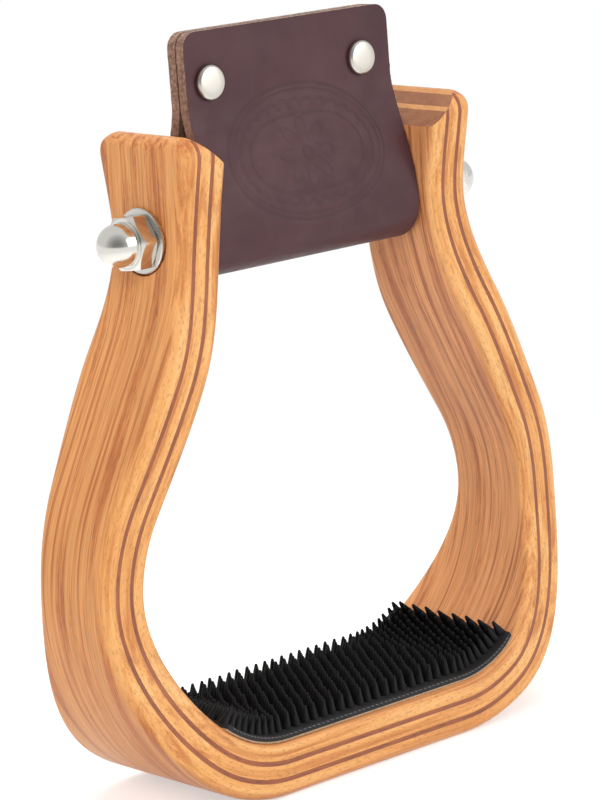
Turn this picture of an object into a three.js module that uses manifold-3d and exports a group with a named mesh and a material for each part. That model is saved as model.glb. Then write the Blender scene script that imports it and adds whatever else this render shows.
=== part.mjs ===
// Wooden stirrup: a bent frame of five glued wood layers, a bolt with cap nuts across its neck,
// a folded leather bolt cover held by two rivets, and a rubber tread with conical nubs.
// Millimetres, +Z up. X runs across the neck, -Y is the front, and the origin is on the ground
// under the middle of the tread.
import * as THREE from "three";
import { mergeGeometries, mergeVertices } from "three/addons/utils/BufferGeometryUtils.js";
import Module from "manifold-3d";

const wasm = await Module();
wasm.setup();

const degrees = Math.PI / 180;
const touchGap = 0.3;

// The glued stack, from the outside of the frame to the inside.
const outerPlyThickness = 4.8;
const veneerThickness = 1.3;
const middlePlyThickness = 3.6;
const innerPlyThickness = 4.8;
const stackThickness = outerPlyThickness + innerPlyThickness + middlePlyThickness + 2 * veneerThickness;
const halfStack = stackThickness / 2;

// Half of the frame's centreline, from the middle of the tread to the top of one leg.
const frameHeight = 184;
const treadFlat = 34.2;
const cornerRadius = 42.4;
const cornerTurn = 45.5 * degrees;
const bellyRadius = 58.5;
const leanAngle = 117.7 * degrees;
const leanLength = 38;
const neckRadius = 85.7;
const cornerSteps = 9;

// The frame's width in Y, as half widths at the places where it is widest or narrowest.
const treadHalfWidth = 25.5;
const widthStations = [
  { along: 56, half: treadHalfWidth },
  { along: 115.7, half: 13.8 },
  { along: 175, half: 17.7 },
  { along: 210.2, half: 14.35 },
  { along: 250.1, half: 19.3 },
];

// The long edges are rounded over: softly on the outside, less so round the lower corners, where
// the frame is widest. The leg tops have rounded corners, and a bevel on the inside.
const outerRoundOver = 3.5;
const lowerRoundOver = 1.5;
const lowerCornerAlong = 66;
const lowerCornerReach = 22;
const innerRoundOver = 2.5;
const topRoundOver = 3.5;
const topCornerRadius = 6.5;
const topBevelAngle = 39 * degrees;
const arcSteps = 4;

// The bolt across the neck, its washers and its cap nuts.
const boltHeight = 156;
const boltRadius = 4.75;
const boltHoleRadius = 5.05;
const boltEndInNut = 7;
const washerRadius = 9;
const washerThickness = 1.6;
const washerSeatRadius = 9.5;
const nutAcrossFlats = 14.3;
const nutHexHeight = 5.2;
const nutDomeRadius = 5.9;
const nutHeight = 13.4;
const nutBoreDepth = 8.5;
const nutChamferAngle = 30 * degrees;
const nutChamferInset = 0.2;
const nutTurn = 7 * degrees;
const sleeveRadius = 7;
const sleeveBoreRadius = 5.2;
const sleeveEndGap = 0.6;

// The leather bolt cover: one strip folded round the bolt, riveted above it.
const coverWidth = 76.8;
const coverThickness = 3;
const coverTop = 209.5;
const coverCornerRadius = 4.5;
const coverLean = 2 * degrees;
const flapGap = 0.4;
const flapStraightFrom = 190;
const loopCentreHeight = 154;
const loopRadius = 9.7;
const loopLeave = 13;
const loopArrive = 8;
const loopSteps = 9;
const spreadSteps = 12;

// The double-cap rivets.
const rivetSpacing = 57;
const rivetShift = -1.5;
const rivetHeight = 195.4;
const rivetCapRadius = 4.8;
const rivetCapThickness = 1.5;
const rivetCrown = 0.35;
const rivetPostRadius = 1.6;
const rivetHoleRadius = 1.9;
const rivetPostEndGap = 0.5;

// The tread: a canvas backing, a rubber mat with nubs on it, and the yarn ends of the mat's inner
// cloth, which show as a thin line on each of its cut sides.
const matCornerSteps = 8;
const treadInset = 1.5;
const treadBaseThickness = 0.5;
const matThickness = 1.5;
const nubHeight = 5;
const nubSink = 0.3;
const nubLength = 1.6;
const nubBreadth = 2.2;
const nubRows = 14;
const nubRowSpacing = 3.1;
const nubRowStagger = 0.25;
const nubColumnsMiddle = 18;
const nubColumnsEnd = 7;
const threadDepth = 0.25;
const threadWidth = 0.4;
const threadProud = 0.25;

const wood = new THREE.MeshStandardMaterial({ color: 0xe0a264, roughness: 0.45, metalness: 0 });
const crossWood = new THREE.MeshStandardMaterial({ color: 0xa8653a, roughness: 0.55, metalness: 0 });
const steel = new THREE.MeshStandardMaterial({ color: 0xc9c7c2, roughness: 0.2, metalness: 1 });
const leather = new THREE.MeshStandardMaterial({ color: 0x5f4245, roughness: 0.55, metalness: 0 });
const soleLeather = new THREE.MeshStandardMaterial({ color: 0xb28a5e, roughness: 0.8, metalness: 0 });
const rubber = new THREE.MeshStandardMaterial({ color: 0x1c1c1e, roughness: 0.7, metalness: 0 });
const thread = new THREE.MeshStandardMaterial({ color: 0xb9b7b2, roughness: 0.8, metalness: 0 });

// Solids are closed meshes whose shared vertices are merged.
function toSolid(geometry) {
  const bare = geometry.clone();
  bare.deleteAttribute("normal");
  bare.deleteAttribute("uv");
  const merged = mergeVertices(bare, 1e-5);
  return new wasm.Manifold(new wasm.Mesh({
    numProp: 3,
    vertProperties: new Float32Array(merged.attributes.position.array),
    triVerts: new Uint32Array(merged.index.array),
  }));
}

function toGeometry(solid) {
  const mesh = solid.getMesh();
  const geometry = new THREE.BufferGeometry();
  geometry.setAttribute("position", new THREE.BufferAttribute(mesh.vertProperties, 3));
  geometry.setIndex(new THREE.BufferAttribute(mesh.triVerts, 1));
  geometry.computeVertexNormals();
  return geometry;
}

function named(name, geometry, material) {
  const mesh = new THREE.Mesh(geometry, material);
  mesh.name = name;
  return mesh;
}

// The centreline as straights and arcs. Its heading is 0 on the tread and 90 degrees up the neck.
const bellyTurn = leanAngle - cornerTurn;
const neckTurn = 90 * degrees - leanAngle;
const segments = [
  { length: treadFlat, turn: 0, steps: 2 },
  { length: cornerRadius * cornerTurn, turn: cornerTurn, steps: cornerSteps },
  { length: bellyRadius * bellyTurn, turn: bellyTurn, steps: 13 },
  { length: leanLength, turn: 0, steps: 5 },
  { length: -neckRadius * neckTurn, turn: neckTurn, steps: 5 },
];
const neckSteps = 3;
const topSteps = 6;

function advance(start, length, turn) {
  if (turn === 0) {
    return {
      along: start.along + length,
      x: start.x + length * Math.cos(start.heading),
      z: start.z + length * Math.sin(start.heading),
      heading: start.heading,
    };
  }
  const radius = length / turn;
  const heading = start.heading + turn;
  return {
    along: start.along + length,
    x: start.x + radius * (Math.sin(heading) - Math.sin(start.heading)),
    z: start.z + radius * (Math.cos(start.heading) - Math.cos(heading)),
    heading,
  };
}

function rightHalf() {
  const stations = [{ along: 0, x: 0, z: halfStack, heading: 0 }];
  let start = stations[0];
  for (const { length, turn, steps } of segments) {
    for (let step = 1; step <= steps; step += 1) {
      stations.push(advance(start, (length * step) / steps, (turn * step) / steps));
    }
    start = stations[stations.length - 1];
  }
  const neckLength = frameHeight - topCornerRadius - start.z;
  for (let step = 1; step <= neckSteps; step += 1) {
    stations.push(advance(start, (neckLength * step) / neckSteps, 0));
  }
  for (let step = 1; step <= topSteps; step += 1) {
    const rise = topCornerRadius * Math.sin((90 * degrees * step) / topSteps);
    stations.push(advance(start, neckLength + rise, 0));
  }
  return stations;
}

function mirrored(station) {
  return { along: -station.along, x: -station.x, z: station.z, heading: -station.heading };
}

const rightStations = rightHalf();
const stations = [...rightStations.slice(1).reverse().map(mirrored), ...rightStations];
const neckX = rightStations[rightStations.length - 1].x;
const neckOuterX = neckX + halfStack;
const neckInnerX = neckX - halfStack;

// Any place on the centreline, for what stands between two stations.
function centrelineAt(along) {
  let start = rightStations[0];
  let rest = Math.abs(along);
  for (const { length, turn } of segments) {
    if (rest <= length) {
      const place = advance(start, rest, (turn * rest) / length);
      return along < 0 ? mirrored(place) : place;
    }
    start = advance(start, length, turn);
    rest -= length;
  }
  const place = advance(start, rest, 0);
  return along < 0 ? mirrored(place) : place;
}

function halfWidthAt(along) {
  const distance = Math.abs(along);
  const next = widthStations.findIndex((station) => station.along > distance);
  if (next < 1) {
    return treadHalfWidth;
  }
  const low = widthStations[next - 1];
  const high = widthStations[next];
  const ease = THREE.MathUtils.smoothstep(distance, low.along, high.along);
  return THREE.MathUtils.lerp(low.half, high.half, ease);
}

// How far a rounded corner draws a side in, at a distance below the top.
function roundedInset(radius, below) {
  const rest = Math.max(radius - below, 0);
  return radius - Math.sqrt(Math.max(radius * radius - rest * rest, 0));
}

// Half of the frame's width at a station, with the rounded corners of the leg tops.
function sideAt(place) {
  return halfWidthAt(place.along) - roundedInset(topCornerRadius, frameHeight - place.z);
}

function outerRoundOverAt(along) {
  const share = Math.exp(-(((Math.abs(along) - lowerCornerAlong) / lowerCornerReach) ** 2));
  return THREE.MathUtils.lerp(outerRoundOver, lowerRoundOver, share);
}

// A point beside the centreline: outward is away from the inside of the frame.
function beside(place, across, outward) {
  return new THREE.Vector3(
    place.x + outward * Math.sin(place.heading),
    across,
    place.z - outward * Math.cos(place.heading),
  );
}

// A closed bar along the stations, from a convex section of [across, outward] points.
function bar(places, sectionAt) {
  const rings = places.map((place) => sectionAt(place).map(([across, outward]) => beside(place, across, outward)));
  const size = rings[0].length;
  const positions = rings.flat().flatMap((point) => point.toArray());
  const index = [];
  for (let ring = 0; ring < rings.length - 1; ring += 1) {
    for (let corner = 0; corner < size; corner += 1) {
      const next = (corner + 1) % size;
      const a = ring * size + corner;
      const b = ring * size + next;
      index.push(a, a + size, b, b, a + size, b + size);
    }
  }
  const last = (rings.length - 1) * size;
  for (let corner = 1; corner < size - 1; corner += 1) {
    index.push(0, corner, corner + 1);
    index.push(last, last + corner + 1, last + corner);
  }
  const geometry = new THREE.BufferGeometry();
  geometry.setAttribute("position", new THREE.Float32BufferAttribute(positions, 3));
  geometry.setIndex(index);
  return geometry;
}

function plainSection(half, inside, outside) {
  return [[-half, inside], [half, inside], [half, outside], [-half, outside]];
}

// A section with two rounded edges on its outer side, or on its inner side where side is -1.
function roundedSection(half, flatSide, roundSide, radius, side) {
  const points = [[-half, flatSide], [half, flatSide]];
  for (let step = 0; step <= arcSteps; step += 1) {
    const angle = (90 * degrees * step) / arcSteps;
    points.push([half - radius + radius * Math.cos(angle), roundSide - side * radius * (1 - Math.sin(angle))]);
  }
  for (let step = arcSteps; step >= 0; step -= 1) {
    const angle = (90 * degrees * step) / arcSteps;
    points.push([-half + radius - radius * Math.cos(angle), roundSide - side * radius * (1 - Math.sin(angle))]);
  }
  return side > 0 ? points : points.reverse();
}

function cylinderAlongX(radius, length, sides) {
  return new THREE.CylinderGeometry(radius, radius, length, sides).rotateZ(90 * degrees);
}

function ringAlongZ(outerRadius, innerRadius, height, sides) {
  const profile = [
    new THREE.Vector2(innerRadius, 0),
    new THREE.Vector2(outerRadius, 0),
    new THREE.Vector2(outerRadius, height),
    new THREE.Vector2(innerRadius, height),
    new THREE.Vector2(innerRadius, 0),
  ];
  return new THREE.LatheGeometry(profile, sides).rotateX(90 * degrees);
}

function prismAlongX(points, length) {
  const geometry = new THREE.ExtrudeGeometry(new THREE.Shape(points), { depth: length, bevelEnabled: false });
  return geometry.applyMatrix4(new THREE.Matrix4().makeBasis(
    new THREE.Vector3(0, 1, 0),
    new THREE.Vector3(0, 0, 1),
    new THREE.Vector3(1, 0, 0),
  )).translate(-length / 2, 0, 0);
}

// What is cut from the legs: the bolt hole, the flat seats of the washers, and the bevel on the
// inside of each leg's top.
function legCuts() {
  const holeLength = 4 * neckOuterX;
  const hole = toSolid(cylinderAlongX(boltHoleRadius, holeLength, 24).translate(0, 0, boltHeight));
  const seatDepth = 6;
  const seats = [-1, 1].map((side) => toSolid(
    cylinderAlongX(washerSeatRadius, seatDepth, 32)
      .translate(side * (neckOuterX + seatDepth / 2), 0, boltHeight),
  ));
  const spare = 2;
  const bevelOuterX = neckOuterX - outerPlyThickness;
  const bevelInnerX = neckInnerX - spare;
  const bevelDrop = (bevelOuterX - bevelInnerX) * Math.tan(topBevelAngle);
  const bevels = [-1, 1].map((side) => {
    const wedge = new THREE.Shape([
      new THREE.Vector2(side * bevelOuterX, frameHeight),
      new THREE.Vector2(side * bevelInnerX, frameHeight - bevelDrop),
      new THREE.Vector2(side * bevelInnerX, frameHeight + spare),
      new THREE.Vector2(side * bevelOuterX, frameHeight + spare),
    ]);
    const depth = 4 * treadHalfWidth;
    const geometry = new THREE.ExtrudeGeometry(wedge, { depth, bevelEnabled: false });
    return toSolid(geometry.rotateX(90 * degrees).translate(0, depth / 2, 0));
  });
  return [hole, ...seats, ...bevels];
}

const cuts = legCuts();

function layer(name, sectionAt, material) {
  const raw = toSolid(bar(stations, sectionAt));
  const cut = cuts.reduce((solid, cutter) => solid.subtract(cutter), raw);
  return named(name, toGeometry(cut), material);
}

function woodenFrame() {
  const group = new THREE.Group();
  const faces = [halfStack];
  for (const thickness of [
    outerPlyThickness, veneerThickness, middlePlyThickness, veneerThickness, innerPlyThickness,
  ]) {
    faces.push(faces[faces.length - 1] - thickness);
  }
  const flat = (outside, inside) => (place) => plainSection(sideAt(place), inside, outside);
  const outerSection = (place) => {
    const outside = faces[0] - roundedInset(topRoundOver, frameHeight - place.z);
    const radius = Math.min(outerRoundOverAt(place.along), outside - faces[1] - touchGap);
    return roundedSection(sideAt(place), faces[1], outside, radius, 1);
  };
  group.add(layer("outer_ply", outerSection, wood));
  group.add(layer("outer_veneer", flat(faces[1], faces[2]), crossWood));
  group.add(layer("middle_ply", flat(faces[2], faces[3]), wood));
  group.add(layer("inner_veneer", flat(faces[3], faces[4]), crossWood));
  group.add(layer(
    "inner_ply",
    (place) => roundedSection(sideAt(place), faces[4], faces[5], innerRoundOver, -1),
    wood,
  ));
  return group;
}

// The nut stands on its washer, with its dome up its own Z axis.
function capNut() {
  const cornerReach = nutAcrossFlats / 2 / Math.cos(30 * degrees);
  const hex = toSolid(
    new THREE.CylinderGeometry(cornerReach, cornerReach, nutHexHeight, 6)
      .rotateX(90 * degrees)
      .rotateZ(nutTurn)
      .translate(0, 0, nutHexHeight / 2),
  );
  const flatReach = nutAcrossFlats / 2 - nutChamferInset;
  const chamferReach = 2 * cornerReach;
  const chamferFoot = nutHexHeight - (chamferReach - flatReach) * Math.tan(nutChamferAngle);
  const chamfer = toSolid(new THREE.LatheGeometry([
    new THREE.Vector2(0, chamferFoot),
    new THREE.Vector2(chamferReach, chamferFoot),
    new THREE.Vector2(flatReach, nutHexHeight),
    new THREE.Vector2(0, nutHexHeight),
  ], 36).rotateX(90 * degrees));
  const domeCentre = nutHeight - nutDomeRadius;
  const domeFoot = nutHexHeight / 2;
  const domeProfile = [new THREE.Vector2(0, domeFoot), new THREE.Vector2(nutDomeRadius, domeFoot)];
  const domeSteps = 8;
  for (let step = 0; step <= domeSteps; step += 1) {
    const angle = (90 * degrees * step) / domeSteps;
    const radius = step === domeSteps ? 0 : nutDomeRadius * Math.cos(angle);
    domeProfile.push(new THREE.Vector2(radius, domeCentre + nutDomeRadius * Math.sin(angle)));
  }
  const dome = toSolid(new THREE.LatheGeometry(domeProfile, 28).rotateX(90 * degrees));
  const bore = toSolid(
    new THREE.CylinderGeometry(boltHoleRadius, boltHoleRadius, 2 * nutBoreDepth, 24).rotateX(90 * degrees),
  );
  return toGeometry(hex.intersect(chamfer).add(dome).subtract(bore));
}

function neckHardware() {
  const group = new THREE.Group();
  group.position.z = boltHeight;
  const washerX = neckOuterX + touchGap;
  const nutX = washerX + washerThickness + touchGap;
  const boltLength = 2 * (nutX + boltEndInNut);
  const bolt = named("bolt", new THREE.CylinderGeometry(boltRadius, boltRadius, boltLength, 24), steel);
  bolt.rotation.z = 90 * degrees;
  group.add(bolt);
  const sleeveLength = 2 * (neckInnerX - sleeveEndGap);
  const sleeve = named("bolt_sleeve", ringAlongZ(sleeveRadius, sleeveBoreRadius, sleeveLength, 24), steel);
  sleeve.rotation.y = 90 * degrees;
  sleeve.position.x = -sleeveLength / 2;
  group.add(sleeve);
  for (const [side, hand] of [[-1, "left"], [1, "right"]]) {
    const end = new THREE.Group();
    end.rotation.y = side * 90 * degrees;
    const washer = named(`washer_${hand}`, ringAlongZ(washerRadius, boltHoleRadius, washerThickness, 24), steel);
    washer.position.z = washerX;
    const nut = named(`cap_nut_${hand}`, capNut(), steel);
    nut.position.z = nutX;
    end.add(washer, nut);
    group.add(end);
  }
  return group;
}

// The middle line of the folded strip, from the top of the front flap, down round the bolt and up
// to the top of the back flap, as [y, z] points.
function coverLine() {
  const flapY = (coverThickness + flapGap) / 2;
  const top = new THREE.Vector2(flapY, coverTop);
  const bend = new THREE.Vector2(flapY, flapStraightFrom);
  const loopSide = new THREE.Vector2(loopRadius, loopCentreHeight);
  const spread = new THREE.CubicBezierCurve(
    loopSide,
    new THREE.Vector2(loopRadius, loopCentreHeight + loopLeave),
    new THREE.Vector2(flapY, flapStraightFrom - loopArrive),
    bend,
  );
  const half = [];
  for (let step = 0; step < loopSteps; step += 1) {
    const angle = -90 * degrees + (90 * degrees * step) / loopSteps;
    half.push(new THREE.Vector2(
      loopRadius * Math.cos(angle),
      loopCentreHeight + loopRadius * Math.sin(angle),
    ));
  }
  half.push(...spread.getPoints(spreadSteps), top);
  const front = half.slice(1).reverse().map((point) => new THREE.Vector2(-point.x, point.y));
  return [...front, ...half];
}

function leatherCover() {
  const line = coverLine();
  const side = (sign) => line.map((point, i) => {
    const before = line[Math.max(i - 1, 0)];
    const after = line[Math.min(i + 1, line.length - 1)];
    const along = after.clone().sub(before).normalize();
    return new THREE.Vector2(
      point.x + (sign * along.y * coverThickness) / 2,
      point.y - (sign * along.x * coverThickness) / 2,
    );
  });
  const strip = toSolid(prismAlongX([...side(1), ...side(-1).reverse()], coverWidth));
  const reach = coverWidth / 2;
  const wide = coverWidth;
  const bottom = loopCentreHeight - 2 * loopRadius;
  const outline = new THREE.Shape()
    .moveTo(-wide, bottom)
    .lineTo(wide, bottom)
    .lineTo(wide, flapStraightFrom)
    .lineTo(reach, flapStraightFrom)
    .lineTo(reach, coverTop - coverCornerRadius)
    .absarc(reach - coverCornerRadius, coverTop - coverCornerRadius, coverCornerRadius, 0, 90 * degrees)
    .lineTo(-reach + coverCornerRadius, coverTop)
    .absarc(
      -reach + coverCornerRadius,
      coverTop - coverCornerRadius,
      coverCornerRadius,
      90 * degrees,
      180 * degrees,
    )
    .lineTo(-reach, flapStraightFrom)
    .lineTo(-wide, flapStraightFrom);
  const depth = 4 * loopRadius;
  const trim = toSolid(
    new THREE.ExtrudeGeometry(outline, { depth, bevelEnabled: false, curveSegments: 6 })
      .rotateX(90 * degrees)
      .translate(0, depth / 2, 0),
  );
  let cover = strip.intersect(trim);
  for (const hand of [-1, 1]) {
    const hole = toSolid(
      new THREE.CylinderGeometry(rivetHoleRadius, rivetHoleRadius, depth, 16)
        .translate(rivetShift + (hand * rivetSpacing) / 2, 0, rivetHeight),
    );
    cover = cover.subtract(hole);
  }
  return named("leather_cover", toGeometry(cover), leather);
}

// A low crowned cap lying on its own XY plane.
function capProfile(crownSteps) {
  const edge = rivetCapThickness - rivetCrown;
  const profile = [new THREE.Vector2(rivetCapRadius, 0)];
  for (let step = 0; step <= crownSteps; step += 1) {
    const share = step / crownSteps;
    const radius = step === crownSteps ? 0 : rivetCapRadius * Math.cos(90 * degrees * share);
    profile.push(new THREE.Vector2(radius, edge + rivetCrown * Math.sin(90 * degrees * share)));
  }
  return profile;
}

function rivets() {
  const group = new THREE.Group();
  const faceY = coverThickness + flapGap / 2;
  for (const [side, hand] of [[-1, "left"], [1, "right"]]) {
    const rivet = new THREE.Group();
    rivet.position.set(rivetShift + (side * rivetSpacing) / 2, 0, rivetHeight);
    const tubeDepth = 2 * faceY - rivetPostEndGap;
    const cap = named(`rivet_cap_${hand}`, new THREE.LatheGeometry([
      new THREE.Vector2(0, 0),
      ...capProfile(5),
    ], 24).rotateX(90 * degrees), steel);
    cap.rotation.x = 90 * degrees;
    cap.position.y = -faceY - touchGap;
    const post = named(`rivet_post_${hand}`, new THREE.LatheGeometry([
      new THREE.Vector2(0, -tubeDepth),
      new THREE.Vector2(rivetPostRadius, -tubeDepth),
      new THREE.Vector2(rivetPostRadius, 0),
      ...capProfile(5),
    ], 24).rotateX(90 * degrees), steel);
    post.rotation.x = -90 * degrees;
    post.position.y = faceY + touchGap;
    rivet.add(cap, post);
    group.add(rivet);
  }
  return group;
}

// The tread's strips lie on the inside of the frame and share its stations.
const matEnd = treadFlat + (cornerRadius * cornerTurn * matCornerSteps) / cornerSteps;
const baseTop = -halfStack - treadBaseThickness;
const matTop = baseTop - matThickness;
const tiny = 1e-6;

function between(low, high) {
  return stations.filter((place) => place.along > low - tiny && place.along < high + tiny);
}

function stripHalfWidth(place) {
  return halfWidthAt(place.along) - treadInset;
}

function nub() {
  const squareReach = Math.SQRT1_2;
  const height = nubHeight + nubSink;
  return new THREE.ConeGeometry(squareReach, height, 4)
    .rotateY(45 * degrees)
    .rotateX(90 * degrees)
    .scale(nubLength, nubBreadth, 1)
    .translate(0, 0, height / 2 - nubSink);
}

// Staggered rows of nubs on one length of the mat, standing square to it.
function nubField(low, high, columns) {
  const pitch = (high - low) / columns;
  const nubs = [];
  for (let row = 0; row < nubRows; row += 1) {
    const across = (row - (nubRows - 1) / 2) * nubRowSpacing;
    const stagger = row % 2 === 0 ? nubRowStagger : 1 - nubRowStagger;
    for (let column = 0; column < columns; column += 1) {
      const place = centrelineAt(low + (column + stagger) * pitch);
      const foot = beside(place, across, matTop);
      nubs.push(nub().rotateY(-place.heading).translate(foot.x, foot.y, foot.z));
    }
  }
  return mergeGeometries(nubs);
}

function matSection(name, low, high, columns) {
  const sheet = bar(between(low, high), (place) => plainSection(stripHalfWidth(place), matTop, baseTop));
  const solid = toSolid(sheet).add(toSolid(nubField(low, high, columns)));
  return named(name, toGeometry(solid), rubber);
}

function tread() {
  const group = new THREE.Group();
  const places = between(-matEnd, matEnd);
  group.add(named(
    "tread_base",
    bar(places, (place) => plainSection(stripHalfWidth(place), baseTop, -halfStack)),
    soleLeather,
  ));
  group.add(matSection("rubber_mat_left", -matEnd, -treadFlat, nubColumnsEnd));
  group.add(matSection("rubber_mat_middle", -treadFlat, treadFlat, nubColumnsMiddle));
  group.add(matSection("rubber_mat_right", treadFlat, matEnd, nubColumnsEnd));
  for (const [side, name] of [[-1, "thread_front"], [1, "thread_back"]]) {
    const row = bar(places, (place) => {
      const face = side * stripHalfWidth(place);
      const low = Math.min(face, face + side * threadProud);
      const high = Math.max(face, face + side * threadProud);
      const upper = matTop + threadDepth;
      return [[low, upper], [high, upper], [high, upper + threadWidth], [low, upper + threadWidth]];
    });
    group.add(named(name, row, thread));
  }
  return group;
}

// The cover and its rivets lean back a little about the bolt.
function leaningCover() {
  const lean = new THREE.Group();
  lean.position.z = boltHeight;
  lean.rotation.x = -coverLean;
  const upright = new THREE.Group();
  upright.position.z = -boltHeight;
  upright.add(leatherCover(), rivets());
  lean.add(upright);
  return lean;
}

const stirrup = new THREE.Group();
stirrup.add(woodenFrame(), neckHardware(), leaningCover(), tread());

export default stirrup;
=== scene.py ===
# %% [markdown]
# A wooden riding stirrup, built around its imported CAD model.
# The CAD model is the fixed frame: it says where every piece sits and what moves.
# This script adds the looks: shaped pieces, procedural finishes, a camera and soft light.

# %% Tools
import math
import random

import bmesh
import bpy
from mathutils import Matrix, Vector, kdtree, noise


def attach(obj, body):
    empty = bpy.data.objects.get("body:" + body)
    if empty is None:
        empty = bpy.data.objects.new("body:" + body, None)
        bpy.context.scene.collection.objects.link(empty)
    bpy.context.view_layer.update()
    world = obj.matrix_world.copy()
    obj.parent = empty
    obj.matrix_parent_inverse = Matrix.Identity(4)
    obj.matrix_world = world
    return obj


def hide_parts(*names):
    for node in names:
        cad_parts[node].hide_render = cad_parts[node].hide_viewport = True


mm = 0.001
degree = math.pi / 180

# %% Load the CAD frame
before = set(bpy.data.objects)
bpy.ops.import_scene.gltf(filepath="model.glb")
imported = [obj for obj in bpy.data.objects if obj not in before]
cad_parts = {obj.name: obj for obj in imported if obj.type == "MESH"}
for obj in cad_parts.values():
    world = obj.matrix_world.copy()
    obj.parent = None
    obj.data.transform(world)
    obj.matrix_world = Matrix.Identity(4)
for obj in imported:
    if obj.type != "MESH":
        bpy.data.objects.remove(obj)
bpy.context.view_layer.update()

# %% [markdown]
# The camera stands where the photographer stood: in front, to the left, a little above.
# Its place and its three axes came from fitting the frame's outline to the photograph,
# so the perspective of the legs and the tread agrees with the picture.

# %% Camera
camera_place = Vector((-0.67188, -0.71976, 0.31568))
camera_right = Vector((0.72292, -0.68901, -0.05149))
camera_up = Vector((0.18285, 0.11892, 0.97592))
camera_back = camera_right.cross(camera_up)
lens_length = 161.6
film_size = 36

lens = bpy.data.cameras.new("camera")
lens.lens = lens_length
lens.sensor_width = film_size
lens.clip_start = 0.05
lens.clip_end = 50
camera = bpy.data.objects.new("camera", lens)
bpy.context.scene.collection.objects.link(camera)
turn = Matrix((camera_right, camera_up, camera_back)).transposed()
camera.matrix_world = Matrix.Translation(camera_place) @ turn.to_4x4()
bpy.context.scene.camera = camera
bpy.context.scene.view_settings.view_transform = "Standard"
print("camera at", [round(v, 3) for v in camera_place])

# %% [markdown]
# Every finish here is a small graph of nodes, and so is the room's light. A helper keeps the
# graphs short: it makes a node, sets its values by name, and joins one socket to another.
# Colours are written as 0 to 255 codes, the way a paint chart gives them, and turned linear.


# %% Helpers for finishes
def chart(red, green, blue):
    """A colour from its 0 to 255 codes, in the linear values that shaders use."""
    shares = [code / 255 for code in (red, green, blue)]
    linear = [v / 12.92 if v <= 0.04045 else ((v + 0.055) / 1.055) ** 2.4 for v in shares]
    return (*linear, 1)


class Graph:
    """The shader nodes of a finish or of the room, being joined."""

    def __init__(self, tree):
        self.tree = tree
        self.nodes = tree.nodes

    def add(self, kind, values=None, **settings):
        node = self.nodes.new("ShaderNode" + kind)
        for key, value in settings.items():
            setattr(node, key, value)
        for key, value in (values or {}).items():
            self.feed(node, key, value)
        return node

    def feed(self, node, key, value):
        """Gives an input a value, or joins it to another node's socket."""
        if isinstance(value, bpy.types.NodeSocket):
            self.tree.links.new(value, node.inputs[key])
        else:
            node.inputs[key].default_value = value

    def remap(self, value, low, high, to_low=0.0, to_high=1.0):
        values = {"Value": value, 1: low, 2: high, 3: to_low, 4: to_high}
        return self.add("MapRange", values).outputs["Result"]

    def math(self, operation, first, second):
        node = self.add("Math", {0: first, 1: second}, operation=operation)
        return node.outputs["Value"]

    def times(self, value, factor):
        return self.math("MULTIPLY", value, factor)

    def mix_shaders(self, share, first, second):
        return self.add("MixShader", {0: share, 1: first, 2: second}).outputs[0]

    def ray_is(self, *kinds):
        """1 for rays of any of these kinds, 0 for all others."""
        rays = self.add("LightPath").outputs
        share = rays[f"Is {kinds[0]} Ray"]
        for kind in kinds[1:]:
            share = self.math("MAXIMUM", share, rays[f"Is {kind} Ray"])
        return share


class Finish(Graph):
    """A material being made."""

    def __init__(self, name):
        self.material = bpy.data.materials.new(name)
        self.material.use_nodes = True
        super().__init__(self.material.node_tree)
        self.surface = self.nodes["Principled BSDF"]

    def set(self, **values):
        for key, value in values.items():
            self.feed(self.surface, key.replace("_", " "), value)

    def place(self, attribute=None, scale=(1, 1, 1), shift=(0, 0, 0)):
        """Where on the piece we are: its Object coordinates, or an attribute, stretched."""
        if attribute:
            source = self.add("Attribute", attribute_name=attribute).outputs["Vector"]
        else:
            source = self.add("TexCoord").outputs["Object"]
        mapping = self.add("Mapping", {"Vector": source, "Scale": scale, "Location": shift})
        return mapping.outputs["Vector"]

    def share_of(self, attribute):
        return self.add("Attribute", attribute_name=attribute).outputs["Fac"]

    def noise(self, vector, scale=1.0, detail=2.0, roughness=0.5, distortion=0.0):
        shape = {"Scale": scale, "Detail": detail, "Roughness": roughness, "Distortion": distortion}
        return self.add("TexNoise", {"Vector": vector, **shape}).outputs["Fac"]

    def mix(self, share, first, second, blend="MIX"):
        node = self.add("Mix", data_type="RGBA", blend_type=blend)
        self.feed(node, "Factor", share)
        self.feed(node, 6, first)
        self.feed(node, 7, second)
        return node.outputs[2]

    def ramp(self, value, stops):
        """A colour ramp from (position, colour) pairs."""
        node = self.add("ValToRGB", {"Fac": value})
        elements = node.color_ramp.elements
        while len(elements) < len(stops):
            elements.new(0.5)
        for element, (position, colour) in zip(elements, stops):
            element.position = position
            element.color = colour
        return node.outputs["Color"]

    def tinted(self, body, pattern, low_tint, high_tint):
        """A colour multiplied by a tint that follows a pattern."""
        tint = self.ramp(pattern, [(0.3, (*low_tint, 1)), (0.7, (*high_tint, 1))])
        return self.mix(1.0, body, tint, "MULTIPLY")

    def relief(self, height, depth, strength):
        """Small bumps of that depth in metres."""
        bump = self.add("Bump", {"Height": height, "Distance": depth, "Strength": strength})
        self.feed(self.surface, "Normal", bump.outputs["Normal"])


# %% [markdown]
# The wood is a stack of five glued layers. The three thick ones have their grain along the
# bend, as strips of ash or oak do once they are bent round a form. A picture of wood wrapped
# on the outside would not carry on over the edges, so the grain is solid: it is worked out
# inside the wood from how far along the band, across it and deep in it a point lies.
# The mesh keeps those three distances in an attribute named "grain". A second attribute,
# "sawn_side", says where the saw cut the band to its outline: the wood is paler there.


# %% Wood along the grain
pore_colour = chart(150, 86, 46)
fleck_colour = chart(184, 118, 66)
sawn_pale = chart(251, 192, 122)
sawn_mid = chart(243, 174, 102)
sawn_dark = chart(212, 134, 72)


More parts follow.
